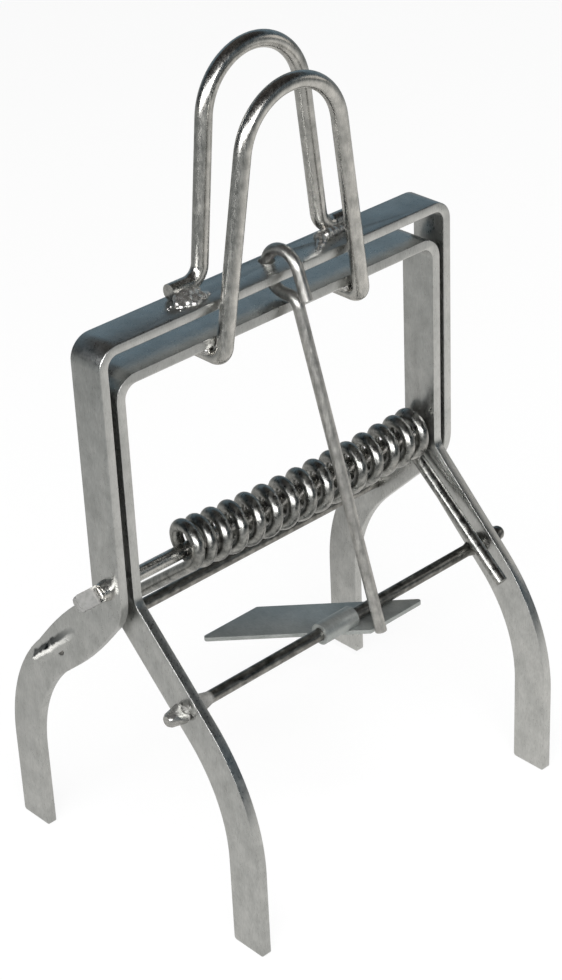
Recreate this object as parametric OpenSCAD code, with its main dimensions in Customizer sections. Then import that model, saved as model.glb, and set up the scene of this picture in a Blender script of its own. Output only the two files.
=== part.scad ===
// Claw mole trap, set position. Millimetres, +Z up, X along the axle,
// claw tips on Z = 0, front of the trap towards -Y.

/* [View] */
// part to draw

/* [Steel strip] */
// width of the strip both frames are bent from
strip_w = 10.4; // [8:0.1:14]
// thickness of the strip
strip_t = 2.5; // [1.5:0.1:4]

/* [Outer frame] */
// width over the two outer legs
outer_w = 112.5; // [90:0.5:140]
// height of the top face of the outer bar
outer_top = 152.1; // [130:0.1:180]
// outside radius of its two top bends
outer_bend = 5.5; // [4:0.1:9]
// side play between the nested legs
leg_play = 1.5; // [0.8:0.1:3]

/* [Inner frame] */
// drop from the outer bar's top to the inner bar's top
bar_drop = 8.6; // [7:0.1:14]
// outside radius of its two top bends
inner_bend = 6; // [4:0.1:9]

/* [Claws] */
// height of the pivot above the claw tips
pivot_z = 88; // [75:0.5:110]
// distance from the pivot down to the start of the claw's bend
bend_below = 1.2; // [0:0.1:4]
// centreline radius of the bend under the pivot
hip_r = 10; // [8:0.5:16]
// slope of the claw's straight shank, from vertical
claw_slope = 45; // [35:1:55]
// centreline radius of the long curve down to the tip
claw_r = 46; // [35:1:60]
// reach of each claw tip from the pivot plane
claw_reach = 38.9; // [34:0.1:50]
// how much less the right rear claw reaches
tuck = 4; // [0:0.1:5]
// how much shorter that claw is
tuck_lift = 1.6; // [0:0.1:3]
// how far the left rear claw is hammered wider on each side, around its rod
swell = 1; // [0:0.1:1.5]
// corner radius of a claw tip
tip_round = 0.8; // [0.3:0.1:2]

/* [Axle and rods] */
// radius of the axle
axle_r = 1.8; // [1.2:0.05:2.5]
// radius of the front and rear cross rods
rod_r = 1.6; // [1.2:0.05:2.5]
// distance of the cross rods from the pivot plane
rod_y = 21; // [16:0.1:26]
// running clearance of the inner legs on the axle
run_gap = 0.06; // [0.02:0.01:0.1]
// radius of the axle's collar outside the left leg
neck_r = 2.6; // [2.1:0.1:3.2]
// length of that collar
neck_l = 1.8; // [1:0.1:4]
// length of the axle's flattened end
axle_flat_l = 6.8; // [4:0.1:8]
// width of the axle's flattened end
axle_flat_w = 4.3; // [4:0.1:7]
// thickness of the axle's flattened end
axle_flat_t = 2; // [1.4:0.1:2.8]
// lean of the axle's flattened end from upright
axle_lean = 45; // [0:1:60]
// length of a front rod end outside its claw
rod_end_l = 5.6; // [4:0.1:9]
// radius of a front rod's upset end
nub_r = 1.85; // [1.6:0.05:2.4]
// width of a rod pinch beside its claw
pinch_w = 5; // [4:0.1:7]
// thickness of a rod pinch
pinch_t = 1.9; // [1.2:0.1:2.6]
// length over which a pinch runs out into the rod
pinch_l = 5; // [3:0.1:6]
// clearance of a pinch beside its claw
pinch_gap = 0.2; // [0.1:0.05:0.5]
// lean of the pinched faces from upright
pinch_lean = 58; // [0:1:80]
// radius of the axle's right head
head_r = 2.5; // [2:0.1:3]
// length of the axle's right head
head_t = 3.1; // [1:0.1:4]

/* [Torsion spring] */
// radius of the spring wire
spring_r = 1.65; // [1.2:0.05:2]
// mean radius of the coil
coil_r = 5; // [4.4:0.1:7]
// distance from one turn to the next
coil_pitch = 5.85; // [4.6:0.05:6.2]
// whole turns between the two legs
coil_turns = 14; // [8:1:16]
// how much the turns close up towards the left end
left_crowd = 4.1; // [0:0.1:4.2]
// how much the turns close up towards the right end
right_crowd = 2.7; // [0:0.1:2.8]
// clearance between the coil's right end and the inner leg
coil_gap = 0.4; // [0.3:0.1:2]
// rise of the coil's left end on the axle
coil_lift = 1.25; // [0:0.05:1.3]
// sag of the coil's middle
coil_sag = 1.2; // [0:0.1:1.3]
// clearance between a spring leg and the rod it presses
leg_gap = 0.35; // [0.3:0.05:0.6]
// length of each spring leg
spring_leg = 45; // [38:0.5:50]
// inward lean of the right spring leg
leg_lean = 3.4; // [0:0.1:5]

/* [Handles] */
// radius of the handle wire
handle_r = 2.05; // [1.5:0.05:3]
// centreline radius of the handles' tops
arch_r = 15.2; // [12:0.1:20]
// height of the rear handle above the outer bar
rear_rise = 53.9; // [40:0.1:70]
// spread of a rear handle leg from upright
rear_spread = 6.3; // [3:0.1:10]
// distance of the rear handle behind the pivot plane
rear_y = 2.7; // [1:0.1:3]
// distance of a rear foot's cut end from the middle
rear_foot = 28.6; // [26:0.1:36]
// bend radius over a rear foot
rear_foot_bend = 4.4; // [3:0.1:6]
// height of the front handle above the inner bar
front_rise = 56; // [40:0.1:70]
// spread of a front handle leg from upright
front_spread = 8.7; // [4:0.1:12]
// forward lean of the front handle
front_lean = 2; // [0:0.1:5]
// bend radius under the inner bar
front_foot_bend = 3.2; // [2.8:0.1:4]
// gap the weld fills between a front foot and the inner bar
foot_gap = 0.55; // [0.4:0.05:0.8]
// length of a front foot under the bar
front_foot = 11; // [8:0.1:13]
// radius of the weld beads
weld_r = 1.5; // [1:0.1:2.2]
// length of the rear welds
rear_weld_l = 7; // [5:0.1:12]
// length of the front welds
front_weld_l = 6.5; // [4:0.1:9]

/* [Trigger plate] */
// thickness of the plate
plate_t = 1.1; // [0.8:0.1:2]
// radial clearance of the plate's eye on the front rod
eye_gap = 0.1; // [0.08:0.01:0.2]
// distance of the plate's rear edge behind the rod
plate_rear = 22.3; // [15:0.1:24]
// distance of the plate's front edge ahead of the rod
plate_front = 6; // [4:0.1:8]
// length of the plate's two edges along the rod
plate_side = 19.3; // [14:0.1:24]
// middle of the rear edge, measured from the trap's middle
plate_rear_x = -18.2; // [-24:0.1:-8]
// middle of the front edge, measured from the trap's middle
plate_front_x = 13.3; // [6:0.1:18]
// corner radius of the plate
plate_corner = 0.7; // [0.4:0.1:2]
// left end of the rolled eye
eye_left = -8.1; // [-10:0.1:-2]
// length of the rolled eye
eye_l = 11; // [6:0.1:16]

/* [Trigger wire] */
// radius of the trigger wire
trig_r = 1.5; // [1:0.05:1.8]
// centreline radius of the eye around the bar
trig_eye_r = 5.5; // [5:0.1:7]
// clearance of the eye above the inner bar
trig_lift = 0.5; // [0.4:0.05:1]
// place of the eye along the bar
trig_x = 1; // [-8:0.1:8]
// sideways place of the wire's lower end
trig_end_x = 5.3; // [2:0.1:14]
// clearance between the wire's lower end and the plate's front edge
trig_gap = 0.35; // [0.3:0.05:1]
// clearance of the wire in the hole of the outer bar
trig_hole_gap = 0.5; // [0.4:0.05:0.8]
// angle of the eye, from the hole over the bar to its tail
trig_over = 160; // [140:1:175]
// length of the straight tail that closes the eye
trig_tail = 7.4; // [4:0.1:9]
// bend radius between the eye and the stem
trig_bend = 3; // [2.8:0.1:4]
// height of the wire's lower end under the plate's top face
trig_under = 0.2; // [0:0.1:1]

/* [Hidden] */
$fn = 64;
inner_top = outer_top - bar_drop;
inner_w = outer_w - 2 * (strip_t + leg_play);
outer_face = outer_w / 2;
outer_in = outer_face - strip_t;
inner_face = inner_w / 2;
inner_in = inner_face - strip_t;
hw = strip_w / 2;
// claw profile, measured from the pivot plane
hip_z = pivot_z - bend_below;
hip_dy = hip_r * (1 - cos(claw_slope));
hip_dz = hip_r * sin(claw_slope);
arc_dy = claw_r * (1 - cos(claw_slope));
arc_dz = claw_r * sin(claw_slope);
// cross rods sit on the middle of the straight shank
rod_z = hip_z - hip_dz - (rod_y - hip_dy) / tan(claw_slope);
// reach of the trap to either side, and the shift that centres it
left_reach = outer_face + neck_l + axle_flat_l;
right_reach = max(outer_face + head_t, inner_face + rod_end_l);
mid_x = (left_reach - right_reach) / 2;
// spring
spring_x1 = inner_in - coil_gap - spring_r;
leg_off = coil_r + rod_r + spring_r + leg_gap;
// slope of a leg that leaves a coil end raised by lift and just clears its rod
function leg_slope(lift) =
    atan2(pivot_z + lift - rod_z, rod_y) - asin(leg_off / norm([rod_y, pivot_z + lift - rod_z]));
left_slope = leg_slope(coil_lift);
right_slope = leg_slope(0);
// the tangent points lie below the coil: measured from the top, forwards
left_at = 180 - left_slope;
right_at = 180 - right_slope;
turn_total = 360 * coil_turns + left_at + right_at;
spring_x0 = spring_x1 - coil_pitch * turn_total / 360 + left_crowd + right_crowd;
// rear handle
rear_foot_z = outer_top + handle_r;
rear_apex_z = outer_top + rear_rise;
rear_virtual = rear_apex_z - arch_r + arch_r / sin(rear_spread);
rear_leg_x = (rear_virtual - rear_foot_z) * tan(rear_spread);
// front handle
front_foot_z = inner_top - strip_t - foot_gap - handle_r;
front_leg_y = -hw - foot_gap - handle_r;
front_apex_z = inner_top + front_rise;
front_virtual = front_apex_z - arch_r + arch_r / sin(front_spread);
front_leg_x = (front_virtual - front_foot_z) * tan(front_spread);
// plate
plate_top = rod_z - rod_r - eye_gap;
eye_bore = rod_r + eye_gap;
// trigger wire
trig_eye_z = inner_top + trig_lift + trig_r + trig_eye_r;
trig_hole_y = 2;
trig_eye_y = trig_hole_y - trig_eye_r;
trig_corner_y = -hw - 0.4;
trig_corner_z = trig_eye_z - trig_eye_r - trig_bend;
trig_end_z = plate_top - trig_under;
trig_end_y = -rod_y - plate_front - trig_gap - trig_r * 1.03;
stem_dy = trig_corner_y - trig_end_y;
stem_dz = trig_corner_z - trig_end_z;
stem_dir = atan2(stem_dy, stem_dz) - asin(trig_bend / norm([stem_dy, stem_dz]));

function unit(v) = v / norm(v);
function side_of(v) = abs(v.z) < 0.9 ? unit(cross([0, 0, 1], v)) : unit(cross([0, 1, 0], v));

// puts children in the frame with origin o and axes ex, ey, ez
module in_frame(o, ex, ey, ez) {
    multmatrix([[ex.x, ey.x, ez.x, o.x], [ex.y, ey.y, ez.y, o.y], [ex.z, ey.z, ez.z, o.z], [0, 0, 0, 1]])
        children();
}

// straight round wire from p to q
module wire_line(p, q, r) {
    ez = unit(q - p);
    ex = side_of(ez);
    in_frame(p, ex, cross(ez, ex), ez)
        cylinder(r = r, h = norm(q - p));
}

// wire through the points, with bend radii at the inner ones
module bent_wire(pts, bends, r) {
    n = len(pts);
    dirs = [for (i = [0 : n - 2]) unit(pts[i + 1] - pts[i])];
    turns = [for (i = [1 : n - 2]) acos(dirs[i - 1] * dirs[i])];
    cuts = [for (i = [0 : n - 3]) bends[i] * tan(turns[i] / 2)];
    for (i = [0 : n - 2]) {
        a = pts[i] + dirs[i] * (i == 0 ? 0 : cuts[i - 1]);
        b = pts[i + 1] - dirs[i] * (i == n - 2 ? 0 : cuts[i]);
        wire_line(a, b, r);
    }
    for (i = [0 : n - 3]) {
        start = pts[i + 1] - dirs[i] * cuts[i];
        inward = unit(dirs[i + 1] - dirs[i] * (dirs[i] * dirs[i + 1]));
        centre = start + inward * bends[i];
        in_frame(centre, -inward, dirs[i], cross(-inward, dirs[i]))
            rotate_extrude(angle = turns[i])
                translate([bends[i], 0])
                    circle(r = r);
        for (p = [start, pts[i + 1] + dirs[i + 1] * cuts[i]])
            translate(p)
                sphere(r = r + 0.005);
    }
}

// points along an arc
function arc(c, r, a0, a1, n) = [for (i = [0 : n])
    let (a = a0 + (a1 - a0) * i / n) c + r * [cos(a), sin(a)]];

// height at which a claw of that reach turns upright
function arc_z(reach) = hip_z - hip_dz - (reach - hip_dy - arc_dy) / tan(claw_slope) - arc_dz;

// edge of the claw at distance off from its centreline, from the leg down to the tip,
// bulging by wide along the straight shank
function claw_edge(off, reach, wide) =
    let (hip = arc([hip_r, hip_z], hip_r - off, 180, 180 + claw_slope, 10),
        curve = arc([reach - claw_r, arc_z(reach)], claw_r + off, claw_slope, 0, 18),
        out = sign(off) * wide * [cos(claw_slope), sin(claw_slope)],
        shank = [for (i = [1 : 1 : wide > 0 ? 7 : 0])
            hip[10] * (1 - i / 8) + curve[0] * i / 8 + out * sin(180 * i / 8)])
    concat([[off, pivot_z + 12]], hip, shank, curve);
function reversed(v) = [for (i = [len(v) - 1 : -1 : 0]) v[i]];

// claw outline down to its tip at height low: X outwards from the pivot plane, Y up
module claw_outline(reach, low, wide) {
    corner = hw - tip_round;
    polygon(concat(
        claw_edge(-hw, reach, wide),
        arc([reach - corner, low + tip_round], tip_round, 180, 270, 5),
        arc([reach + corner, low + tip_round], tip_round, 270, 360, 5),
        reversed(claw_edge(hw, reach, wide))));
}

// strip frame: half width over the legs, top height, bend radius, claw side,
// how much less the right claw reaches, how much shorter it is, and the left claw's swell
module strip_frame(face, top, bend, dir, pull, lift, wide) {
    difference() {
        union() {
            rotate([90, 0, 0])
                translate([0, 0, -hw])
                    linear_extrude(strip_w)
                        difference() {
                            u_outline(face, top, bend);
                            u_outline(face - strip_t, top - strip_t, bend - strip_t);
                        }
            for (side = [-1, 1])
                translate([side > 0 ? face - strip_t : -face, 0, 0])
                    rotate([90, 0, 90])
                        linear_extrude(strip_t)
                            scale([dir, 1])
                                claw_outline(claw_reach - (side > 0 ? pull : 0),
                                    side > 0 ? lift : 0, side > 0 ? 0 : wide);
        }
        // hole for the rod through both claws
        translate([-face - 1, dir * rod_y, rod_z])
            rotate([0, 90, 0])
                cylinder(r = rod_r, h = 2 * face + 2);
    }
}

module u_outline(face, top, bend) {
    foot = pivot_z + 10;
    translate([-face, foot])
        square([2 * face, top - bend - foot]);
    translate([-face + bend, foot])
        square([2 * (face - bend), top - foot]);
    for (side = [-1, 1])
        translate([side * (face - bend), top - bend])
            circle(r = bend);
}

module axle_hole(r) {
    translate([-outer_face - 1, 0, pivot_z])
        rotate([0, 90, 0])
            cylinder(r = r, h = outer_w + 2);
}

// axle end hammered flat, its far corners knocked round; outline in X and Z
module hammered_end(l, w, t) {
    rotate([90 - axle_lean, 0, 0])
        translate([0, 0, -t / 2])
            linear_extrude(t)
                polygon([[0, -w / 2 + 0.4], [-0.5, -w / 2], [-l + 1.3, -w / 2], [-l + 0.4, -w / 2 + 0.5],
                    [-l, -w / 2 + 1.4], [-l, w / 2 - 1.2], [-l + 0.3, w / 2 - 0.4], [-l + 1, w / 2],
                    [-0.8, w / 2], [0, w / 2 - 0.6]]);
}

// pinch that starts flat at X = 0 and runs out into the round rod towards +X
module pinch(l, r) {
    rotate([-pinch_lean, 0, 0])
        hull() {
            translate([0, -pinch_t / 2, -pinch_w / 2 + 0.6])
                cube([1, pinch_t, pinch_w - 1.2]);
            translate([0.4, -pinch_t / 2 + 0.3, -pinch_w / 2])
                cube([0.6, pinch_t - 0.6, pinch_w]);
            translate([l - 0.2, 0, 0])
                rotate([0, 90, 0])
                    cylinder(r = r - 0.02, h = 0.2, $fn = 24);
        }
}

// rod end outside its claw: pinched flat beside the claw, upset to a nub at the far end
module rod_end() {
    rotate([-pinch_lean, 0, 0])
        hull() {
            translate([0, -pinch_t / 2, -pinch_w / 2 + 0.6])
                cube([1, pinch_t, pinch_w - 1.2]);
            translate([0.4, -pinch_t / 2 + 0.3, -pinch_w / 2])
                cube([0.8, pinch_t - 0.6, pinch_w]);
            translate([rod_end_l - pinch_gap - 2, 0, 0])
                rotate([0, 90, 0]) {
                    cylinder(r = nub_r, h = 1.3, $fn = 28);
                    cylinder(r = nub_r - 0.5, h = 2, $fn = 28);
                }
        }
}

module outer_frame() {
    color("silver")
        translate([mid_x, 0, 0])
            difference() {
                strip_frame(outer_face, outer_top, outer_bend, 1, tuck, tuck_lift, swell);
                axle_hole(axle_r);
                translate([trig_x, trig_hole_y, outer_top - strip_t - 1])
                    cylinder(r = trig_r + trig_hole_gap, h = strip_t + 2);
            }
}

module inner_frame() {
    color("silver")
        translate([mid_x, 0, 0])
            difference() {
                strip_frame(inner_face, inner_top, inner_bend, -1, 0, 0, 0);
                axle_hole(axle_r + run_gap);
            }
}

module axle() {
    color("lightgray")
        translate([mid_x, 0, 0]) {
            wire_line([-outer_face - neck_l - 0.5, 0, pivot_z], [outer_face, 0, pivot_z], axle_r);
            translate([-outer_face - neck_l, 0, pivot_z])
                rotate([0, 90, 0])
                    cylinder(r1 = neck_r - 0.4, r2 = neck_r, h = neck_l);
            translate([-outer_face - neck_l + 0.3, 0, pivot_z])
                hammered_end(axle_flat_l + 0.3, axle_flat_w, axle_flat_t);
            // riveted right head
            translate([outer_face, 0, pivot_z])
                rotate([0, 90, 0])
                    cylinder(r1 = head_r, r2 = head_r - 0.7, h = head_t);
        }
}

module rear_rod() {
    color("lightgray")
        translate([mid_x, 0, 0])
            wire_line([-outer_face, rod_y, rod_z], [outer_face, rod_y, rod_z], rod_r);
}

module front_rod() {
    color("lightgray")
        translate([mid_x, 0, 0]) {
            wire_line([-inner_face - 1, -rod_y, rod_z], [inner_face + 1, -rod_y, rod_z], rod_r);
            for (side = [-1, 1])
                mirror([side < 0 ? 1 : 0, 0, 0]) {
                    translate([inner_face + pinch_gap, -rod_y, rod_z])
                        rod_end();
                    translate([inner_in - pinch_gap, -rod_y, rod_z])
                        mirror([1, 0, 0])
                            pinch(pinch_l, rod_r);
                }
        }
}

module rear_handle() {
    color("lightgray")
        translate([mid_x, 0, 0])
            bent_wire([[-rear_foot, rear_y, rear_foot_z], [-rear_leg_x, rear_y, rear_foot_z],
                [0, rear_y, rear_virtual],
                [rear_leg_x, rear_y, rear_foot_z], [rear_foot, rear_y, rear_foot_z]],
                [rear_foot_bend, arch_r, rear_foot_bend], handle_r);
}

module front_handle() {
    tip_y = front_leg_y - (front_virtual - front_foot_z) * tan(front_lean);
    heel_y = front_leg_y + front_foot;
    color("lightgray")
        translate([mid_x, 0, 0])
            bent_wire([[-front_leg_x, heel_y, front_foot_z], [-front_leg_x, front_leg_y, front_foot_z],
                [0, tip_y, front_virtual], [front_leg_x, front_leg_y, front_foot_z],
                [front_leg_x, heel_y, front_foot_z]],
                [front_foot_bend, arch_r, front_foot_bend], handle_r);
}

// bead between a rear foot and the top of the outer bar
module rear_weld(side) {
    z0 = outer_top + 0.55;
    y0 = rear_y - handle_r - 0.35;
    far = side * (rear_foot - 0.6);
    near = side * (rear_foot - 0.6 - rear_weld_l);
    x0 = min(far, near);
    x1 = max(far, near);
    color("gainsboro")
        translate([mid_x, 0, 0])
            difference() {
                union() {
                    wire_line([x0, y0, z0], [x1, y0, z0], weld_r);
                    for (x = [x0, x1])
                        translate([x, y0, z0])
                            sphere(r = weld_r);
                }
                translate([-outer_face, -hw - 1, outer_top - 5])
                    cube([outer_w, strip_w + 2, 5]);
                translate([0, rear_y, rear_foot_z])
                    rotate([0, 90, 0])
                        cylinder(r = handle_r, h = 2 * rear_foot + 10, center = true);
            }
}

// bead between a front foot and the underside of the inner bar
module front_weld(side) {
    under = inner_top - strip_t;
    z0 = under - 0.75;
    x0 = side * front_leg_x - handle_r - 0.3;
    y0 = -hw + 1.1;
    color("gainsboro")
        translate([mid_x, 0, 0])
            difference() {
                union() {
                    wire_line([x0, y0, z0], [x0, y0 + front_weld_l, z0], weld_r);
                    for (y = [y0, y0 + front_weld_l])
                        translate([x0, y, z0])
                            sphere(r = weld_r);
                }
                translate([-inner_face, -hw - 5, under])
                    cube([inner_w, strip_w + 10, 5]);
                translate([side * front_leg_x, 0, front_foot_z])
                    rotate([90, 0, 0])
                        cylinder(r = handle_r, h = strip_w + 16, center = true);
            }
}

module rear_weld_left() {
    rear_weld(-1);
}

module rear_weld_right() {
    rear_weld(1);
}

module front_weld_left() {
    front_weld(-1);
}

module front_weld_right() {
    front_weld(1);
}

// spring centreline: leg, coil, leg, as one run of points
function coil_drop(s) = coil_lift * pow(1 - s, 3) - coil_sag * sin(180 * s);
function coil_point(a) =
    let (s = a / turn_total, phi = left_at - a)
    [spring_x1 - coil_pitch * (turn_total - a) / 360 + left_crowd * pow(1 - s, 10)
        + right_crowd * (1 - pow(s, 21)),
        -coil_r * sin(phi), pivot_z + coil_r * cos(phi) + coil_drop(s)];
coil_steps = ceil(turn_total / 45);
coil_pts = [for (i = [0 : coil_steps]) coil_point(turn_total * i / coil_steps)];
leg_left = [0, cos(left_slope), -sin(left_slope)];
leg_right = [-sin(leg_lean), -cos(leg_lean) * cos(right_slope), -cos(leg_lean) * sin(right_slope)];
leg_steps = [2, spring_leg - 4, spring_leg];
spring_pts = concat(
    [for (i = [2 : -1 : 0]) coil_pts[0] + leg_left * leg_steps[i]],
    coil_pts,
    [for (i = [0 : 2]) coil_pts[coil_steps] + leg_right * leg_steps[i]]);

function mean_dir(p, i) =
    i == 0 ? unit(p[1] - p[0]) :
    i == len(p) - 1 ? unit(p[i] - p[i - 1]) :
    unit(unit(p[i] - p[i - 1]) + unit(p[i + 1] - p[i]));

// one closed tube along the points; the axle's direction keeps its rings from twisting
module tube(p, r, sides) {
    n = len(p);
    rings = [for (i = [0 : n - 1])
        let (d = mean_dir(p, i), e = unit([1, 0, 0] - d * d.x), f = cross(d, e))
        for (k = [0 : sides - 1]) p[i] + r * (cos(360 * k / sides) * e + sin(360 * k / sides) * f)];
    sides_faces = [for (i = [0 : n - 2], k = [0 : sides - 1])
        let (a = i * sides + k, b = i * sides + (k + 1) % sides)
        each [[a, b + sides, b], [a, a + sides, b + sides]]];
    cap_first = [for (k = [1 : sides - 2]) [0, k, k + 1]];
    cap_last = [for (k = [1 : sides - 2]) [(n - 1) * sides, (n - 1) * sides + k + 1, (n - 1) * sides + k]];
    polyhedron(points = rings, faces = concat(sides_faces, cap_first, cap_last));
}

module torsion_spring() {
    color("gray")
        translate([mid_x, 0, 0])
            tube(spring_pts, spring_r, 6);
}

// smallest distance between points over half a turn apart, less the wire
spring_near = min([for (i = [0 : len(spring_pts) - 1], j = [i + 5 : 1 : len(spring_pts) - 1])
    norm(spring_pts[i] - spring_pts[j])]) - 2 * spring_r;
echo(spring_least_gap = spring_near);

// corner arc points of a polygon
function rounded(p, r) = [for (i = [0 : len(p) - 1])
    let (a = p[(i + len(p) - 1) % len(p)], b = p[i], c = p[(i + 1) % len(p)],
        u = unit(a - b), v = unit(c - b), half = acos(u * v) / 2,
        cut = r / tan(half), o = b + unit(u + v) * r / sin(half),
        s = b + u * cut, e = b + v * cut)
    for (k = [0 : 5])
        let (m = unit((s - o) * (1 - k / 5) + (e - o) * k / 5)) o + r * m];

module trigger_plate() {
    rear = -rod_y + plate_rear;
    front = -rod_y - plate_front;
    half = plate_side / 2;
    color("slategray")
        translate([mid_x, 0, 0])
            difference() {
                union() {
                    translate([0, 0, plate_top - plate_t])
                        linear_extrude(plate_t)
                            polygon(rounded([
                                [plate_rear_x - half, rear], [plate_rear_x + half, rear],
                                [plate_front_x + half, front], [plate_front_x - half, front]],
                                plate_corner));
                    // rolled eye around the rod
                    wire_line([eye_left, -rod_y, rod_z], [eye_left + eye_l, -rod_y, rod_z],
                        eye_bore + plate_t);
                    // tongue that carries the eye to the plate
                    translate([eye_left, -rod_y, plate_top - plate_t])
                        cube([eye_l, 7, plate_t]);
                }
                wire_line([eye_left - 1, -rod_y, rod_z], [eye_left + eye_l + 1, -rod_y, rod_z], eye_bore);
            }
}

module trigger_wire() {
    corner = [trig_x, trig_corner_y, trig_corner_z];
    stem_top = corner + trig_bend * [0, -cos(stem_dir), sin(stem_dir)];
    color("lightgray")
        translate([mid_x, 0, 0]) {
            // eye through the hole and round the bar's front edge
            translate([trig_x, trig_eye_y, trig_eye_z])
                rotate([90, 0, 90])
                    rotate([0, 0, -90])
                        rotate_extrude(angle = 90 + trig_over)
                            translate([trig_eye_r, 0])
                                circle(r = trig_r);
            translate([trig_x, trig_eye_y, trig_eye_z])
                rotate([trig_over, 0, 0])
                    translate([0, trig_eye_r, 0]) {
                        sphere(r = trig_r + 0.005);
                        cylinder(r = trig_r, h = trig_tail);
                    }
            wire_line([trig_x, trig_eye_y, trig_eye_z - trig_eye_r],
                [trig_x, trig_corner_y, trig_eye_z - trig_eye_r], trig_r);
            translate(corner)
                rotate([90, 0, 90])
                    rotate([0, 0, 90])
                        rotate_extrude(angle = 90 - stem_dir)
                            translate([trig_bend, 0])
                                circle(r = trig_r);
            translate(stem_top)
                sphere(r = trig_r);
            wire_line(stem_top, [trig_end_x, trig_end_y, trig_end_z], trig_r);
        }
}

outer_frame();
rear_handle();
rear_weld_left();
rear_weld_right();
axle();
rear_rod();
inner_frame();
front_handle();
front_weld_left();
front_weld_right();
front_rod();
torsion_spring();
trigger_plate();
trigger_wire();
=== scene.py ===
import math

import bmesh
import bpy
from mathutils import Matrix, Vector
from mathutils.noise import noise as noiseValue


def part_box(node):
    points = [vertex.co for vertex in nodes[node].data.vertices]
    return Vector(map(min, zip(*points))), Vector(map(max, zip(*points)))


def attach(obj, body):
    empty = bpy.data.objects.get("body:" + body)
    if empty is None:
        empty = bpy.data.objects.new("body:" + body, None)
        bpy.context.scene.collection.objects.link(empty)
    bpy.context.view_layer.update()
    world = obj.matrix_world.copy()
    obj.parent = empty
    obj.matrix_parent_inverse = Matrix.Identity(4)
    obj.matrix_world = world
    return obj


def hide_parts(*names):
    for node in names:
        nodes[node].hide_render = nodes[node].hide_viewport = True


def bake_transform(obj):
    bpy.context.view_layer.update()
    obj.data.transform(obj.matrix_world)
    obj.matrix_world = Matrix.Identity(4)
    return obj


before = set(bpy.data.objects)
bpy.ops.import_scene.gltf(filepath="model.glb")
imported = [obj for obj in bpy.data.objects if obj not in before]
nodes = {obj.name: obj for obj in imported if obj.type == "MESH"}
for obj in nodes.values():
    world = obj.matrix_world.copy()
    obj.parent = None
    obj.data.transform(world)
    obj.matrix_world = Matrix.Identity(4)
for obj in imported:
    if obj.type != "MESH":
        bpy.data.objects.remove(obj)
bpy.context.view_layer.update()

mm = 0.001
print("frame loaded:", len(nodes), "nodes")


# camera
view = {
    "place": (-332.88, -372.06, 385.58),   # mm, in front, to the left and above
    "ahead": (0.5782, 0.6394, -0.5068),
    "roll": 2.67,                          # degrees
    "lens": 86.59,
    "sensorHeight": 36,
    "shift": (-0.00145, -0.00066),
    "clip": (0.01, 20),                    # metres
}


def addCamera(v):
    data = bpy.data.cameras.new("camera")
    data.sensor_fit = "VERTICAL"
    data.sensor_height = v["sensorHeight"]
    data.lens = v["lens"]
    data.shift_x, data.shift_y = v["shift"]
    data.clip_start, data.clip_end = v["clip"]
    camera = bpy.data.objects.new("camera", data)
    bpy.context.scene.collection.objects.link(camera)
    ahead = Vector(v["ahead"]).normalized()
    right = ahead.cross(Vector((0, 0, 1))).normalized()
    up = right.cross(ahead)
    roll = math.radians(v["roll"])
    c, s = math.cos(roll), math.sin(roll)
    right, up = right * c - up * s, up * c + right * s
    stand = Matrix((right, up, -ahead)).transposed().to_4x4()
    stand.translation = Vector(v["place"]) * mm
    camera.matrix_world = stand
    bpy.context.scene.camera = camera


addCamera(view)
print("camera placed")


# small helpers for node trees
noiseSpan = (0.3, 0.7)                                  # nearly all noise lies between these
mixSockets = {"RGBA": (6, 7, 2), "FLOAT": (2, 3, 0)}    # inputs A and B, and the result


def addNode(tree, kind, **settings):
    node = tree.nodes.new(kind)
    for key, value in settings.items():
        setattr(node, key, value)
    return node


def link(tree, a, b):
    tree.links.new(a, b)


def feed(tree, source, socket):
    if isinstance(source, bpy.types.NodeSocket):
        link(tree, source, socket)
    else:
        socket.default_value = source


def sourceOf(socket):
    return socket.links[0].from_socket if socket.is_linked else socket.default_value


class Formula:
    def __init__(self, tree):
        self.tree = tree

    def op(self, kind, *args):
        node = addNode(self.tree, "ShaderNodeMath", operation=kind)
        for i, a in enumerate(args):
            feed(self.tree, a, node.inputs[i])
        return node.outputs[0]


def colourRamp(tree, source, stops):
    ramp = addNode(tree, "ShaderNodeValToRGB")
    ends = ramp.color_ramp.elements
    for element, (place, colour) in ((ends[0], stops[0]), (ends[1], stops[-1])):
        element.position = place
        element.color = (*colour, 1)
    for place, colour in stops[1:-1]:
        ramp.color_ramp.elements.new(place).color = (*colour, 1)
    link(tree, source, ramp.inputs["Fac"])
    return ramp.outputs["Color"]


def mapRange(tree, source, low, high, outLow, outHigh):
    node = addNode(tree, "ShaderNodeMapRange")
    link(tree, source, node.inputs["Value"])
    limits = {"From Min": low, "From Max": high, "To Min": outLow, "To Max": outHigh}
    for key, value in limits.items():
        node.inputs[key].default_value = value
    return node.outputs["Result"]


def mixed(tree, kind, share, a, b):
    inputA, inputB, result = mixSockets[kind]
    node = addNode(tree, "ShaderNodeMix", data_type=kind)
    link(tree, share, node.inputs["Factor"])
    feed(tree, a, node.inputs[inputA])
    feed(tree, b, node.inputs[inputB])
    return node.outputs[result]


def mixedShader(tree, share, a, b):
    node = addNode(tree, "ShaderNodeMixShader")
    link(tree, share, node.inputs["Fac"])
    link(tree, a, node.inputs[1])
    link(tree, b, node.inputs[2])
    return node.outputs[0]


def noise(tree, coords, size, stretch=(1, 1, 1), detail=4, roughness=0.55):
    mapping = addNode(tree, "ShaderNodeMapping")
    mapping.inputs["Scale"].default_value = stretch
    link(tree, coords, mapping.inputs["Vector"])
    tex = addNode(tree, "ShaderNodeTexNoise")
    tex.inputs["Scale"].default_value = 1 / (size * mm)
    tex.inputs["Detail"].default_value = detail
    tex.inputs["Roughness"].default_value = roughness
    link(tree, mapping.outputs["Vector"], tex.inputs["Vector"])
    return tex.outputs["Fac"]


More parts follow.
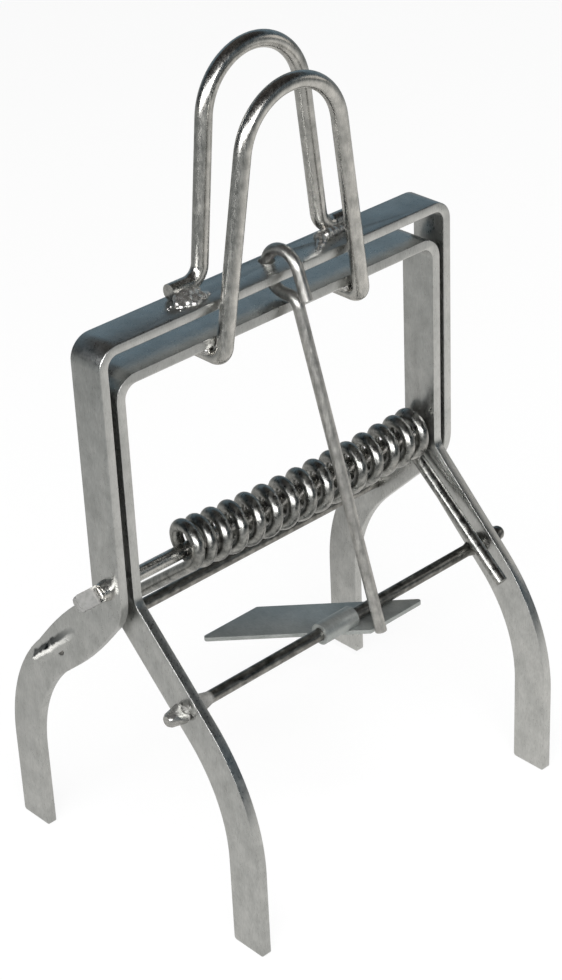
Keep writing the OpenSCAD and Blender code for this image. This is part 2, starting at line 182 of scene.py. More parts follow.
# zinc and steel finishes; patch and grain are sizes in mm, gloss is a span of roughness
finishes = {
    "galvanisedStrip": {
        "dark": (0.47, 0.475, 0.463), "mid": (0.56, 0.565, 0.552), "light": (0.65, 0.65, 0.635),
        "patch": 5, "grain": 0.4, "stretch": (1, 1, 0.3), "gloss": (0.27, 0.37), "bump": 0.07},
    "brightWire": {
        "dark": (0.38, 0.38, 0.36), "mid": (0.57, 0.56, 0.535), "light": (0.76, 0.74, 0.7),
        "patch": 3, "grain": 0.35, "stretch": (1, 1, 0.2), "gloss": (0.22, 0.32), "bump": 0.04},
    "triggerSteel": {
        "dark": (0.34, 0.34, 0.32), "mid": (0.52, 0.51, 0.49), "light": (0.7, 0.69, 0.65),
        "patch": 3, "grain": 0.4, "stretch": (1, 1, 0.2), "gloss": (0.34, 0.44), "bump": 0.02},
    "rodWire": {
        "dark": (0.1, 0.098, 0.09), "mid": (0.24, 0.235, 0.22), "light": (0.46, 0.45, 0.42),
        "patch": 2.5, "grain": 0.4, "stretch": (0.25, 1, 1), "gloss": (0.28, 0.42), "bump": 0.06},
    "springWire": {
        "dark": (0.17, 0.175, 0.17), "mid": (0.34, 0.34, 0.325), "light": (0.56, 0.55, 0.52),
        "patch": 2.6, "grain": 1.3, "stretch": (1, 1, 1), "gloss": (0.27, 0.33), "bump": 0.005},
    "galvanisedSheet": {
        "dark": (0.35, 0.37, 0.36), "mid": (0.42, 0.44, 0.43), "light": (0.49, 0.51, 0.495),
        "patch": 6, "grain": 0.35, "stretch": (1, 0.4, 1), "gloss": (0.36, 0.48), "bump": 0.03,
        "metallic": 0.86},
    "weldMetal": {
        "dark": (0.3, 0.3, 0.29), "mid": (0.6, 0.59, 0.57), "light": (0.9, 0.88, 0.84),
        "patch": 1.6, "grain": 0.9, "stretch": (1, 1, 1), "gloss": (0.24, 0.34), "bump": 0.02,
        "metallic": 0.95},
}
# how every finish puts its patches, streaks and grain together
steelMix = {
    "patchShare": 0.6, "streakShare": 0.4, "streakSize": 0.35, "stops": (0.12, 0.5, 0.88),
    "speckle": (0.9, 1.1), "grainGloss": (-0.05, 0.05), "bumpDepth": 0.2,
}


def steelMaterial(name, f):
    material = bpy.data.materials.new(name)
    material.use_nodes = True
    tree = material.node_tree
    sums = Formula(tree)
    shader = tree.nodes["Principled BSDF"]
    shader.inputs["Metallic"].default_value = f.get("metallic", 1)
    coords = addNode(tree, "ShaderNodeTexCoord").outputs["Object"]
    patches = noise(tree, coords, f["patch"], detail=5, roughness=0.6)
    streaks = noise(tree, coords, f["patch"] * steelMix["streakSize"], stretch=f["stretch"],
                    detail=6, roughness=0.65)
    grain = noise(tree, coords, f["grain"], stretch=f["stretch"], detail=3)
    blend = sums.op("ADD", mapRange(tree, patches, *noiseSpan, 0, steelMix["patchShare"]),
                    mapRange(tree, streaks, *noiseSpan, 0, steelMix["streakShare"]))
    tones = (f["dark"], f["mid"], f["light"])
    colour = colourRamp(tree, blend, list(zip(steelMix["stops"], tones)))
    speckle = addNode(tree, "ShaderNodeVectorMath", operation="SCALE")
    link(tree, colour, speckle.inputs[0])
    link(tree, mapRange(tree, grain, *noiseSpan, *steelMix["speckle"]), speckle.inputs["Scale"])
    link(tree, speckle.outputs[0], shader.inputs["Base Color"])
    gloss = sums.op("ADD", mapRange(tree, streaks, *noiseSpan, *f["gloss"]),
                    mapRange(tree, grain, *noiseSpan, *steelMix["grainGloss"]))
    link(tree, gloss, shader.inputs["Roughness"])
    bump = addNode(tree, "ShaderNodeBump")
    bump.inputs["Strength"].default_value = f["bump"]
    bump.inputs["Distance"].default_value = steelMix["bumpDepth"] * mm
    link(tree, grain, bump.inputs["Height"])
    link(tree, bump.outputs["Normal"], shader.inputs["Normal"])
    return material


# left ends hammered paler than the wire they belong to; from and to are places along X in mm
axleEnd = {"from": -56.6, "to": -57.6, "pale": (0.25, 0.248, 0.24),
           "metallic": 0.2, "roughness": 0.5}
rodPinch = {"from": -41.2, "to": -42.2, "pale": (0.3, 0.295, 0.28),
            "metallic": 0.4, "roughness": 0.4}
rodEnd = {"from": -49.9, "to": -50.6, "pale": (0.42, 0.415, 0.395),
          "metallic": 0.85, "roughness": 0.22}
endSpots = {"size": 1.2, "roughness": 0.6, "stops": (0.3, 0.6), "shade": 0.7}


def paleEnd(name, material, e):
    material = material.copy()
    material.name = name
    tree = material.node_tree
    inputs = tree.nodes["Principled BSDF"].inputs
    coords = addNode(tree, "ShaderNodeTexCoord").outputs["Object"]
    split = addNode(tree, "ShaderNodeSeparateXYZ")
    link(tree, coords, split.inputs[0])
    share = mapRange(tree, split.outputs["X"], e["from"] * mm, e["to"] * mm, 0, 1)
    spots = noise(tree, coords, endSpots["size"], roughness=endSpots["roughness"])
    shaded = tuple(c * endSpots["shade"] for c in e["pale"])
    pale = colourRamp(tree, spots, list(zip(endSpots["stops"], (shaded, e["pale"]))))
    for kind, key, end in (("RGBA", "Base Color", pale), ("FLOAT", "Roughness", e["roughness"]),
                           ("FLOAT", "Metallic", e["metallic"])):
        link(tree, mixed(tree, kind, share, sourceOf(inputs[key]), end), inputs[key])
    return material


materials = {name: steelMaterial(name, f) for name, f in finishes.items()}
materials["axleSteel"] = paleEnd("axleSteel", materials["brightWire"], axleEnd)
pinchedRod = paleEnd("rodPinchSteel", materials["rodWire"], rodPinch)
materials["frontRodSteel"] = paleEnd("frontRodSteel", pinchedRod, rodEnd)
print("materials made:", len(materials))


# helpers for meshes and pieces
mergeWithin = 0.001    # mm


def setMaterial(obj, material):
    obj.data.materials.clear()
    obj.data.materials.append(material)
    for face in obj.data.polygons:
        face.material_index = 0


def newObject(name, mesh):
    obj = bpy.data.objects.new(name, mesh)
    bpy.context.scene.collection.objects.link(obj)
    return obj


def finishPiece(obj, body, material, replaced=()):
    setMaterial(obj, material)
    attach(obj, body)
    if replaced:
        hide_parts(*replaced)


def bakeModifiers(obj):
    bpy.context.view_layer.update()
    evaluated = obj.evaluated_get(bpy.context.evaluated_depsgraph_get())
    mesh = bpy.data.meshes.new_from_object(evaluated)
    obj.modifiers.clear()
    obj.data = mesh


def smoothByAngle(mesh, degrees):
    mesh.shade_smooth()
    mesh.set_sharp_from_angle(angle=math.radians(degrees))


def pointOutwards(mesh):
    work = bmesh.new()
    work.from_mesh(mesh)
    bmesh.ops.remove_doubles(work, verts=work.verts, dist=mergeWithin * mm)
    bmesh.ops.recalc_face_normals(work, faces=work.faces)
    if work.calc_volume(signed=True) < 0:
        bmesh.ops.reverse_faces(work, faces=work.faces)
    work.to_mesh(mesh)
    work.free()


# bent strip, cut sheet and hammered rods: the CAD shape with its edges eased
easing = {
    "mergeWithin": 0.002, "flatWithin": 0.4, "segments": 3, "easeOver": 38, "smoothUnder": 32,
    "pieces": {
        "outer_frame": (0.32, "outer_jaw", "galvanisedStrip", "galvanised_strip"),
        "inner_frame": (0.32, "inner_jaw", "galvanisedStrip", "galvanised_strip"),
        "trigger_plate": (0.16, "plate", "galvanisedSheet", "galvanised_sheet"),
        "axle": (0.14, "outer_jaw", "axleSteel", "galvanised_wire"),
        "front_rod": (0.14, "inner_jaw", "frontRodSteel", "galvanised_wire"),
    },
}
# these keep their CAD shape
wireFinishes = {"rear_handle": "brightWire", "front_handle": "brightWire",
                "trigger_wire": "triggerSteel", "rear_rod": "rodWire"}


def easedCopy(node, width, body, finish, slotName):
    mesh = nodes[node].data.copy()
    work = bmesh.new()
    work.from_mesh(mesh)
    bmesh.ops.remove_doubles(work, verts=work.verts, dist=easing["mergeWithin"] * mm)
    bmesh.ops.dissolve_limit(work, angle_limit=math.radians(easing["flatWithin"]),
                             verts=work.verts, edges=work.edges)
    work.to_mesh(mesh)
    work.free()
    obj = newObject(node + "_eased", mesh)
    bevel = obj.modifiers.new("ease", "BEVEL")
    bevel.width = width * mm
    bevel.segments = easing["segments"]
    bevel.limit_method = "ANGLE"
    bevel.angle_limit = math.radians(easing["easeOver"])
    bakeModifiers(obj)
    smoothByAngle(obj.data, easing["smoothUnder"])
    finishPiece(obj, body, materials[finish], (node,))


for nodeName, how in easing["pieces"].items():
    easedCopy(nodeName, *how)
for nodeName, finish in wireFinishes.items():
    setMaterial(nodes[nodeName], materials[finish])
print("strips, sheet and wires dressed")


# coil spring with its two legs, one unbroken wire; lengths in mm, slopes in degrees
spring = {
    "wireRadius": 1.65, "coilRadius": 5.0, "pitch": 5.85, "turns": 14,
    "leftCrowd": 4.1, "rightCrowd": 2.7, "endX": 50.45,
    "leftSlope": 38.364, "rightSlope": 36.648, "lean": 3.4, "legLength": 45.0,
    "lift": 1.25, "sag": 1.2, "pivotHeight": 88.0, "stepsPerTurn": 40, "sides": 20,
}
springBuild = {
    "whole": ("turns", "stepsPerTurn", "sides"), "legSteps": 12,
    "liftPower": 3, "leftPower": 10, "rightPower": 21,     # how far each end effect reaches in
    "smoothUnder": 50, "blendInset": 4,
}


def newTree(name, values, kinds):
    tree = bpy.data.node_groups.new(name, "GeometryNodeTree")
    tree.interface.new_socket("Geometry", in_out="OUTPUT", socket_type="NodeSocketGeometry")
    for key in values:
        kind = kinds.get(key, "NodeSocketFloat")
        tree.interface.new_socket(key, in_out="INPUT", socket_type=kind)
    return tree, addNode(tree, "NodeGroupInput").outputs


def endTree(tree, geometry, material):
    realize = addNode(tree, "GeometryNodeRealizeInstances")
    link(tree, geometry, realize.inputs["Geometry"])
    paint = addNode(tree, "GeometryNodeSetMaterial")
    paint.inputs["Material"].default_value = material
    link(tree, realize.outputs["Geometry"], paint.inputs["Geometry"])
    out = addNode(tree, "NodeGroupOutput")
    link(tree, paint.outputs["Geometry"], out.inputs["Geometry"])


def runTree(name, tree, values):
    obj = newObject(name, bpy.data.meshes.new(name))
    modifier = obj.modifiers.new("tree", "NODES")
    modifier.node_group = tree
    sockets = {s.name: s.identifier for s in tree.interface.items_tree if s.in_out == "INPUT"}
    for key, value in values.items():
        modifier[sockets[key]] = value
    bakeModifiers(obj)
    return obj


def springTree(values, material):
    kinds = dict.fromkeys(springBuild["whole"], "NodeSocketInt")
    tree, given = newTree("coilSpring", values, kinds)
    f = Formula(tree)
    legSteps = springBuild["legSteps"]
    # angle swept by the coil: whole turns plus the part turns up to the tangent points
    leftTangent = f.op("SUBTRACT", 180, given["leftSlope"])
    rightTangent = f.op("SUBTRACT", 180, given["rightSlope"])
    partTurns = f.op("ADD", leftTangent, rightTangent)
    sweep = f.op("RADIANS", f.op("ADD", f.op("MULTIPLY", given["turns"], 360), partTurns))
    step = f.op("DIVIDE", 2 * math.pi, given["stepsPerTurn"])
    coilSteps = f.op("CEIL", f.op("DIVIDE", sweep, step))
    line = addNode(tree, "GeometryNodeMeshLine", mode="OFFSET")
    link(tree, f.op("ADD", coilSteps, 2 * legSteps + 1), line.inputs["Count"])
    index = addNode(tree, "GeometryNodeInputIndex").outputs[0]
    # the coil, which lifts and crowds at its left end, sags in the middle and crowds at its right
    place = f.op("DIVIDE", f.op("SUBTRACT", index, legSteps), coilSteps)
    along = f.op("MINIMUM", f.op("MAXIMUM", place, 0), 1)
    left = f.op("SUBTRACT", 1, along)
    phi = f.op("SUBTRACT", f.op("RADIANS", leftTangent), f.op("MULTIPLY", along, sweep))
    lift = f.op("MULTIPLY", given["lift"], f.op("POWER", left, springBuild["liftPower"]))
    sag = f.op("MULTIPLY", given["sag"], f.op("SINE", f.op("MULTIPLY", along, math.pi)))
    rise = f.op("SUBTRACT", lift, sag)
    swept = f.op("MULTIPLY", left, sweep)
    run = f.op("DIVIDE", f.op("MULTIPLY", swept, given["pitch"]), 2 * math.pi)
    leftPart = f.op("POWER", left, springBuild["leftPower"])
    rightPart = f.op("SUBTRACT", 1, f.op("POWER", along, springBuild["rightPower"]))
    closeUp = f.op("ADD", f.op("MULTIPLY", given["leftCrowd"], leftPart),
                   f.op("MULTIPLY", given["rightCrowd"], rightPart))
    x = f.op("ADD", f.op("SUBTRACT", given["endX"], run), closeUp)
    y = f.op("MULTIPLY", f.op("MULTIPLY", given["coilRadius"], f.op("SINE", phi)), -1)
    z = f.op("ADD", f.op("ADD", given["pivotHeight"], rise),
             f.op("MULTIPLY", given["coilRadius"], f.op("COSINE", phi)))
    # the legs leave the coil along its tangents, the right one leaning inwards
    legPart = f.op("DIVIDE", given["legLength"], legSteps)
    beforeCoil = f.op("MAXIMUM", f.op("SUBTRACT", legSteps, index), 0)
    pastCoil = f.op("SUBTRACT", f.op("SUBTRACT", index, legSteps), coilSteps)
    before = f.op("MULTIPLY", beforeCoil, legPart)
    after = f.op("MULTIPLY", f.op("MAXIMUM", pastCoil, 0), legPart)
    leftAngle = f.op("RADIANS", given["leftSlope"])
    rightAngle = f.op("RADIANS", given["rightSlope"])
    lean = f.op("RADIANS", given["lean"])
    upright = f.op("MULTIPLY", after, f.op("COSINE", lean))
    x = f.op("SUBTRACT", x, f.op("MULTIPLY", after, f.op("SINE", lean)))
    y = f.op("ADD", y, f.op("SUBTRACT", f.op("MULTIPLY", before, f.op("COSINE", leftAngle)),
                            f.op("MULTIPLY", upright, f.op("COSINE", rightAngle))))
    z = f.op("SUBTRACT", z, f.op("ADD", f.op("MULTIPLY", before, f.op("SINE", leftAngle)),
                                 f.op("MULTIPLY", upright, f.op("SINE", rightAngle))))
    point = addNode(tree, "ShaderNodeCombineXYZ")
    for i, value in enumerate((x, y, z)):
        link(tree, f.op("MULTIPLY", value, mm), point.inputs[i])
    setPlace = addNode(tree, "GeometryNodeSetPosition")
    link(tree, line.outputs["Mesh"], setPlace.inputs["Geometry"])
    link(tree, point.outputs[0], setPlace.inputs["Position"])
    curve = addNode(tree, "GeometryNodeMeshToCurve")
    link(tree, setPlace.outputs[0], curve.inputs["Mesh"])
    ring = addNode(tree, "GeometryNodeCurvePrimitiveCircle")
    link(tree, given["sides"], ring.inputs["Resolution"])
    link(tree, f.op("MULTIPLY", given["wireRadius"], mm), ring.inputs["Radius"])
    tube = addNode(tree, "GeometryNodeCurveToMesh")
    link(tree, curve.outputs["Curve"], tube.inputs["Curve"])
    link(tree, ring.outputs["Curve"], tube.inputs["Profile Curve"])
    tube.inputs["Fill Caps"].default_value = True
    endTree(tree, tube.outputs["Mesh"], material)
    return tree


def makeSpring(values):
    obj = runTree("coil_spring", springTree(values, materials["springWire"]), values)
    pointOutwards(obj.data)
    smoothByAngle(obj.data, springBuild["smoothUnder"])
    setMaterial(obj, materials["springWire"])
    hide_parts("torsion_spring")
    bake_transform(obj)


makeSpring(spring)
print("spring wound")


# weld blobs, built from overlapping drops: x, y, z and radius in mm
welds = {
    "voxel": 0.25, "dropRings": 3, "lumps": 0.14, "lumpSize": 1.6,
    "relaxFactor": 0.5, "relaxTimes": 10,
    "rearLeft": [(-24.9, 0.4, 153.0, 1.6), (-23.0, 0.2, 153.2, 1.75), (-21.2, 0.3, 153.1, 1.5),
                 (-19.4, 0.7, 153.0, 1.15), (-26.0, -0.4, 152.5, 1.1), (-24.0, -1.5, 152.3, 1.6),
                 (-21.7, -1.8, 152.2, 1.6), (-22.9, -2.6, 152.0, 1.3), (-26.0, -1.7, 152.0, 1.0),
                 (-19.5, -1.4, 152.1, 1.4), (-17.8, -1.0, 151.9, 1.1)],
    "rearRight": [(19.6, 0.5, 153.1, 1.5), (21.6, 0.2, 153.2, 1.7), (23.6, 0.3, 153.1, 1.6),
                  (25.6, 0.5, 153.0, 1.4), (27.6, 0.8, 152.9, 1.1), (19.0, -0.8, 152.5, 1.4),
                  (17.8, -1.7, 152.2, 1.2), (16.4, -2.5, 151.95, 0.9), (15.0, -3.2, 151.85, 0.55),
                  (13.6, -3.8, 151.8, 0.5), (12.4, -4.3, 151.8, 0.4)],
    # x from the middle of the CAD weld
    "frontFoot": [(0.1, -4.3, 140.3, 1.15), (0.2, -2.6, 140.2, 1.35), (0.3, -0.8, 140.2, 1.3),
                  (0.4, 0.9, 140.3, 1.0), (-0.9, -4.1, 140.7, 0.75)],
}
# beads that spattered beside the welds; lengths in metres
spatters = {
    "spatterLeft": {"place": (-0.0265, -0.0012, 0.1521), "length": 0.006, "width": 0.005,
                    "density": 4.5e5, "bead": 0.00042, "seed": 4},
    "spatterRight": {"place": (0.0175, -0.0018, 0.1521), "length": 0.007, "width": 0.004,
                     "density": 1.2e5, "bead": 0.00028, "seed": 9},
    "spatterBar": {"place": (0.0105, 0.0005, 0.1521), "length": 0.001, "width": 0.001,
                   "density": 2.0e6, "bead": 0.0005, "seed": 2},
}
beads = {"rings": 3, "smallest": 0.35, "largest": 1.0}


def weldBlob(name, drops, body, node):
    work = bmesh.new()
    for x, y, z, r in drops:
        place = Matrix.Translation(Vector((x, y, z)) * mm)
        bmesh.ops.create_icosphere(work, subdivisions=welds["dropRings"], radius=r * mm,
                                   matrix=place)
    mesh = bpy.data.meshes.new(name)
    work.to_mesh(mesh)
    work.free()
    obj = newObject(name, mesh)
    remesh = obj.modifiers.new("melt", "REMESH")
    remesh.mode = "VOXEL"
    remesh.voxel_size = welds["voxel"] * mm
    remesh.use_smooth_shade = True
    bakeModifiers(obj)
    for v in obj.data.vertices:
        n = noiseValue(v.co / (welds["lumpSize"] * mm))
        v.co += v.normal * n * welds["lumps"] * mm
    relax = obj.modifiers.new("relax", "SMOOTH")
    relax.factor, relax.iterations = welds["relaxFactor"], welds["relaxTimes"]
    bakeModifiers(obj)
    obj.data.shade_smooth()
    finishPiece(obj, body, materials["weldMetal"], (node,))


def spatterTree(values, material):
    kinds = {"place": "NodeSocketVector", "seed": "NodeSocketInt"}
    tree, given = newTree("spatter", values, kinds)
    patch = addNode(tree, "GeometryNodeMeshGrid")
    link(tree, given["length"], patch.inputs["Size X"])
    link(tree, given["width"], patch.inputs["Size Y"])
    scatter = addNode(tree, "GeometryNodeDistributePointsOnFaces", distribute_method="RANDOM")
    link(tree, patch.outputs["Mesh"], scatter.inputs["Mesh"])
    link(tree, given["density"], scatter.inputs["Density"])
    link(tree, given["seed"], scatter.inputs["Seed"])
    bead = addNode(tree, "GeometryNodeMeshIcoSphere")
    bead.inputs["Subdivisions"].default_value = beads["rings"]
    link(tree, given["bead"], bead.inputs["Radius"])
    size = addNode(tree, "FunctionNodeRandomValue", data_type="FLOAT")
    size.inputs[2].default_value = beads["smallest"]
    size.inputs[3].default_value = beads["largest"]
    link(tree, given["seed"], size.inputs["Seed"])
    strew = addNode(tree, "GeometryNodeInstanceOnPoints")
    link(tree, scatter.outputs["Points"], strew.inputs["Points"])
    link(tree, bead.outputs["Mesh"], strew.inputs["Instance"])
    link(tree, size.outputs[1], strew.inputs["Scale"])
    move = addNode(tree, "GeometryNodeTransform")
    link(tree, strew.outputs["Instances"], move.inputs["Geometry"])
    link(tree, given["place"], move.inputs["Translation"])
    endTree(tree, move.outputs["Geometry"], material)
    return tree


def footDrops(node):
    low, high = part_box(node)
    middle = (low.x + high.x) / 2 / mm
    return [(middle + x, y, z, r) for x, y, z, r in welds["frontFoot"]]


def dressWelds():
    weldBlob("weld_rear_left", welds["rearLeft"], "outer_jaw", "rear_weld_left")
    weldBlob("weld_rear_right", welds["rearRight"], "outer_jaw", "rear_weld_right")
    for side in ("left", "right"):
        node = "front_weld_" + side
        weldBlob("weld_front_" + side, footDrops(node), "inner_jaw", node)
    for name, values in spatters.items():
        obj = runTree(name, spatterTree(values, materials["weldMetal"]), values)
        obj.data.shade_smooth()
        finishPiece(obj, "outer_jaw", materials["weldMetal"])


dressWelds()
print("welds and spatter laid")


# rib hammered up along the left rear claw, over the end of the rear rod
# mm across it, shares of its length along it; low and high are its ends in Y and Z
rib = {
    "face": -53.5, "low": (31.2, 54.6), "high": (13.6, 70.4), "height": 1.9,
    "lowerSide": 1.3, "upperSide": 1.1, "reach": 2.7, "sunk": 0.6,
    "stepsAlong": 110, "stepsAcross": 60, "smoothUnder": 60,
    "startLength": 0.06, "startPower": 0.5, "endPower": 0.7,
    "notch": {"place": 0.4, "size": 0.035, "depth": 0.35},
    "spur": {"place": 0.4, "size": 0.028, "height": 0.225, "slant": 0.02,
             "below": 1.6, "length": 1.2},
    "rim": {"side": 0.6, "start": 0.03, "end": 0.05, "under": 0.03},
}
# painted highlight along its crest, with painted shade in the lee of it
ribPaintedLight = {
    "ragged": {"size": 2.2, "detail": 3, "by": 0.35},
    "crest": {"place": -0.35, "inner": 0.25, "outer": 0.75},
    "shade": {"place": 0.95, "inner": 0.45, "outer": 0.95},
    "fadeIn": (0.3, 1.6), "fadeOut": (0.5, 0.95),
    # pale is the painted highlight's colour, dark the painted shade's
    "pale": (0.7, 0.69, 0.66), "dark": (0.05, 0.055, 0.055), "highlightMetallic": 0.3,
}


def hill(x, size):
    return math.exp(-(x / size) ** 2)


def ribHeight(r, t, v):
    notch, spur = r["notch"], r["spur"]
    swell = min(t / r["startLength"], 1) ** r["startPower"] * max(1 - t, 0) ** r["endPower"]
    swell *= 1 - notch["depth"] * hill(t - notch["place"], notch["size"])
    crest = hill(v, r["lowerSide"] if v < 0 else r["upperSide"])
    spurShape = (hill(t - spur["place"] - spur["slant"] * v, spur["size"])
                 * hill(v + spur["below"], spur["length"]))
    return r["height"] * max(swell * crest, spur["height"] * spurShape)


def ribPaintedLightMaterial(w, base, low, along, across):
    material = base.copy()
    material.name = "ribSteelPaintedLight"
    tree = material.node_tree
    inputs = tree.nodes["Principled BSDF"].inputs
    coords = addNode(tree, "ShaderNodeTexCoord").outputs["Object"]
    offset = addNode(tree, "ShaderNodeVectorMath", operation="SUBTRACT")
    link(tree, coords, offset.inputs[0])
    offset.inputs[1].default_value = (0, low.x * mm, low.y * mm)
    f = Formula(tree)
    parts = []
    for direction in (across, along.normalized()):
        dot = addNode(tree, "ShaderNodeVectorMath", operation="DOT_PRODUCT")
        link(tree, offset.outputs[0], dot.inputs[0])
        dot.inputs[1].default_value = (0, direction.x, direction.y)
        parts.append(f.op("DIVIDE", dot.outputs["Value"], mm))
    acrossPart, alongPart = parts
    ragged = w["ragged"]
    wander = noise(tree, coords, ragged["size"], detail=ragged["detail"])
    wandering = f.op("ADD", acrossPart,
                     mapRange(tree, wander, *noiseSpan, -ragged["by"], ragged["by"]))
    ends = [share * along.length for share in w["fadeOut"]]
    fade = f.op("MULTIPLY", mapRange(tree, alongPart, *w["fadeIn"], 0, 1),
                mapRange(tree, alongPart, *ends, 1, 0))
    # bands of painted shade beside the crest and of painted highlight along it
    shares = {}
    for name in ("shade", "crest"):
        band = w[name]
        away = f.op("ABSOLUTE", f.op("SUBTRACT", wandering, band["place"]))
        strength = mapRange(tree, away, band["inner"], band["outer"], 1, 0)
        shares[name] = f.op("MULTIPLY", strength, fade)
    colour = sourceOf(inputs["Base Color"])
    # the dark painted shade goes on first, then the pale painted highlight, which is also made
    # less metallic
    for name, tint in (("shade", w["dark"]), ("crest", w["pale"])):
        colour = mixed(tree, "RGBA", shares[name], colour, (*tint, 1))
    link(tree, colour, inputs["Base Color"])
    link(tree, mapRange(tree, shares["crest"], 0, 1, 1, w["highlightMetallic"]), inputs["Metallic"])
    return material


def rimOf(rows):
    rim = [row[0] for row in rows] + rows[-1][1:]
    return rim + [row[-1] for row in reversed(rows)][1:] + rows[0][-2:0:-1]


def makeRib(r):
    low, high = Vector(r["low"]), Vector(r["high"])
    along = high - low
    across = Vector((-along.y, along.x)).normalized()
    if across.y < 0:
        across = -across
    rim = r["rim"]
    work = bmesh.new()
    rows = []
    for i in range(r["stepsAlong"] + 1):
        t = i / r["stepsAlong"]
        row = []
        for k in range(r["stepsAcross"] + 1):
            v = (2 * k / r["stepsAcross"] - 1) * r["reach"]
            at = low + along * t + across * v
            inside = min(1, (r["reach"] - abs(v)) / rim["side"], t / rim["start"],
                         (1 - t) / rim["end"])
            rise = ribHeight(r, t, v) * max(inside, 0) - rim["under"]
            row.append(work.verts.new(Vector((r["face"] - rise, at.x, at.y)) * mm))
        rows.append(row)
    down = Vector((r["sunk"] * mm, 0, 0))
    under = [[work.verts.new(v.co + down) for v in row] for row in rows]
    for grid in (rows, under):
        for a, b in zip(grid, grid[1:]):
            for k in range(len(a) - 1):
                work.faces.new((a[k], a[k + 1], b[k + 1], b[k]))
    top, bottom = rimOf(rows), rimOf(under)
    for k in range(len(top)):
        n = (k + 1) % len(top)
        work.faces.new((top[k], top[n], bottom[n], bottom[k]))
    mesh = bpy.data.meshes.new("rod_rib")
    work.to_mesh(mesh)
    work.free()
    obj = newObject("rod_rib", mesh)
    pointOutwards(mesh)
    smoothByAngle(mesh, r["smoothUnder"])
    steel = ribPaintedLightMaterial(ribPaintedLight, materials["galvanisedStrip"], low, along, across)
    finishPiece(obj, "outer_jaw", steel)


makeRib(rib)
print("rib raised")


# floor, lights and the pale surroundings; places and sizes in metres
studio = {
    "floorHalf": 3, "floorDrop": 0.0004, "floorColour": (0.86, 0.86, 0.85), "floorWhite": 0.9,
    "paperGrain": 30, "paperShade": 0.985,
    "sheetPlace": (0.22, -0.1, 0.0), "sheetReach": (0.05, 0.75),
    "sheetNear": (0.89, 0.875, 0.845), "sheetFar": (0.24, 0.252, 0.25),
    "shadowPlace": (0.01, 0.12, 0.0), "shadowReach": (0.02, 0.1), "shadowDepth": 0.6,
    # from straight down to straight up
    "sky": [(0.0, (0.4, 0.4, 0.38)), (0.5, (0.3, 0.32, 0.33)), (0.58, (0.19, 0.25, 0.29)),
            (0.76, (0.19, 0.275, 0.34)), (0.795, (0.06, 0.055, 0.05)),
            (1.0, (0.055, 0.05, 0.045))],
    "skyFront": (-0.3, 0.3), "frontDim": (0.35, 1.0),
    "skyLeft": (-0.45, 0.05), "leftDim": (0.12, 1.0),
    "lampAim": (0, 0, 0.09),
    "lamps": {
        "leftSoftbox": {"place": (-0.9, -0.05, 0.45), "size": (0.5, 0.35), "power": 5},
        "frontSoftbox": {"place": (-0.7, -0.8, 0.66), "size": (1.0, 0.34), "power": 11},
        "rightCard": {"place": (0.46, -0.27, 0.29), "size": (0.2, 0.2), "power": 0.11,
                      "colour": (1, 0.93, 0.85)},
        "topSoftbox": {"place": (-0.3, -0.4, 1.2), "size": (0.7, 0.7), "power": 14,
                       "mirrored": False},
        "rightSoftbox": {"place": (1.0, -0.5, 0.4), "size": (0.5, 0.5), "power": 5,
                         "mirrored": False},
    },
}
white = (1, 1, 1, 1)


def addLamp(name, lamp, target):
    data = bpy.data.lights.new(name, "AREA")
    data.energy = lamp["power"]
    data.color = lamp.get("colour", (1, 1, 1))
    data.shape = "RECTANGLE"
    data.size, data.size_y = lamp["size"]
    obj = bpy.data.objects.new(name, data)
    bpy.context.scene.collection.objects.link(obj)
    obj.location = lamp["place"]
    aim = Vector(target) - Vector(lamp["place"])
    obj.rotation_euler = aim.to_track_quat("-Z", "Y").to_euler()
    # one that isn't mirrored lights the trap without showing in its metal
    obj.visible_glossy = lamp.get("mirrored", True)


def distanceFrom(tree, coords, place):
    away = addNode(tree, "ShaderNodeVectorMath", operation="DISTANCE")
    link(tree, coords, away.inputs[0])
    away.inputs[1].default_value = place
    return away.outputs["Value"]


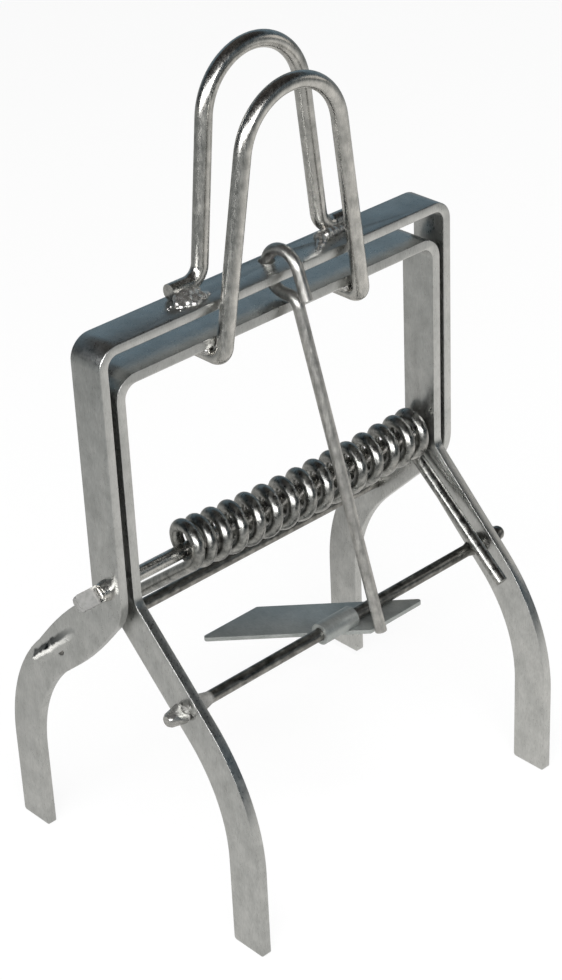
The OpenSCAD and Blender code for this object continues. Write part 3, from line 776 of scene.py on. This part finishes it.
def addFloor(s):
    half, drop = s["floorHalf"], s["floorDrop"]
    corners = [(x * half, y * half, -drop) for x, y in ((-1, -1), (1, -1), (1, 1), (-1, 1))]
    mesh = bpy.data.meshes.new("floor")
    mesh.from_pydata(corners, [], [(0, 1, 2, 3)])
    floor = newObject("floor", mesh)
    material = bpy.data.materials.new("palePaper")
    material.use_nodes = True
    tree = material.node_tree
    tree.nodes.clear()
    coords = addNode(tree, "ShaderNodeTexCoord").outputs["Object"]
    path = addNode(tree, "ShaderNodeLightPath").outputs
    diffuse = addNode(tree, "ShaderNodeBsdfDiffuse")
    shaded = tuple(c * s["paperShade"] for c in s["floorColour"])
    tone = colourRamp(tree, noise(tree, coords, s["paperGrain"]),
                      list(zip(noiseSpan, (shaded, s["floorColour"]))))
    link(tree, tone, diffuse.inputs["Color"])
    # the metal mirrors a glowing sheet, a painted pool of light near the trap's front right that
    # falls off to a dim room, with a painted shadow behind the trap
    sheet = addNode(tree, "ShaderNodeEmission")
    fall = mapRange(tree, distanceFrom(tree, coords, s["sheetPlace"]), *s["sheetReach"], 0, 1)
    sheetColour = colourRamp(tree, fall, [(0, s["sheetNear"]), (1, s["sheetFar"])])
    link(tree, sheetColour, sheet.inputs["Color"])
    # painted shadow: the sheet is dimmed behind the trap
    behind = distanceFrom(tree, coords, s["shadowPlace"])
    paintedShadow = mapRange(tree, behind, *s["shadowReach"], s["shadowDepth"], 1)
    link(tree, paintedShadow, sheet.inputs["Strength"])
    seen = mixedShader(tree, path["Is Glossy Ray"], diffuse.outputs[0], sheet.outputs[0])
    # the camera sees white paper, with a little of the lit paper and its shadow in it
    paper = addNode(tree, "ShaderNodeEmission")
    paper.inputs["Color"].default_value = white
    share = Formula(tree).op("MULTIPLY", path["Is Camera Ray"], s["floorWhite"])
    out = addNode(tree, "ShaderNodeOutputMaterial")
    link(tree, mixedShader(tree, share, seen, paper.outputs[0]), out.inputs["Surface"])
    floor.data.materials.append(material)


def addSky(s):
    world = bpy.data.worlds.new("paleRoom")
    bpy.context.scene.world = world
    world.use_nodes = True
    tree = world.node_tree
    tree.nodes.clear()
    coords = addNode(tree, "ShaderNodeTexCoord").outputs["Generated"]
    split = addNode(tree, "ShaderNodeSeparateXYZ")
    link(tree, coords, split.inputs[0])
    height = mapRange(tree, split.outputs["Z"], -1, 1, 0, 1)
    # the room is dimmer in front of the trap and on its left than behind it
    room = addNode(tree, "ShaderNodeBackground")
    link(tree, colourRamp(tree, height, s["sky"]), room.inputs["Color"])
    front = mapRange(tree, split.outputs["Y"], *s["skyFront"], *s["frontDim"])
    left = mapRange(tree, split.outputs["X"], *s["skyLeft"], *s["leftDim"])
    link(tree, Formula(tree).op("MULTIPLY", front, left), room.inputs["Strength"])
    backdrop = addNode(tree, "ShaderNodeBackground")
    backdrop.inputs["Color"].default_value = white
    camera = addNode(tree, "ShaderNodeLightPath").outputs["Is Camera Ray"]
    out = addNode(tree, "ShaderNodeOutputWorld")
    link(tree, mixedShader(tree, camera, room.outputs[0], backdrop.outputs[0]),
         out.inputs["Surface"])


for lampName, lamp in studio["lamps"].items():
    addLamp(lampName, lamp, studio["lampAim"])
addFloor(studio)
addSky(studio)
bpy.context.scene.view_settings.view_transform = "Standard"
print("studio lit")
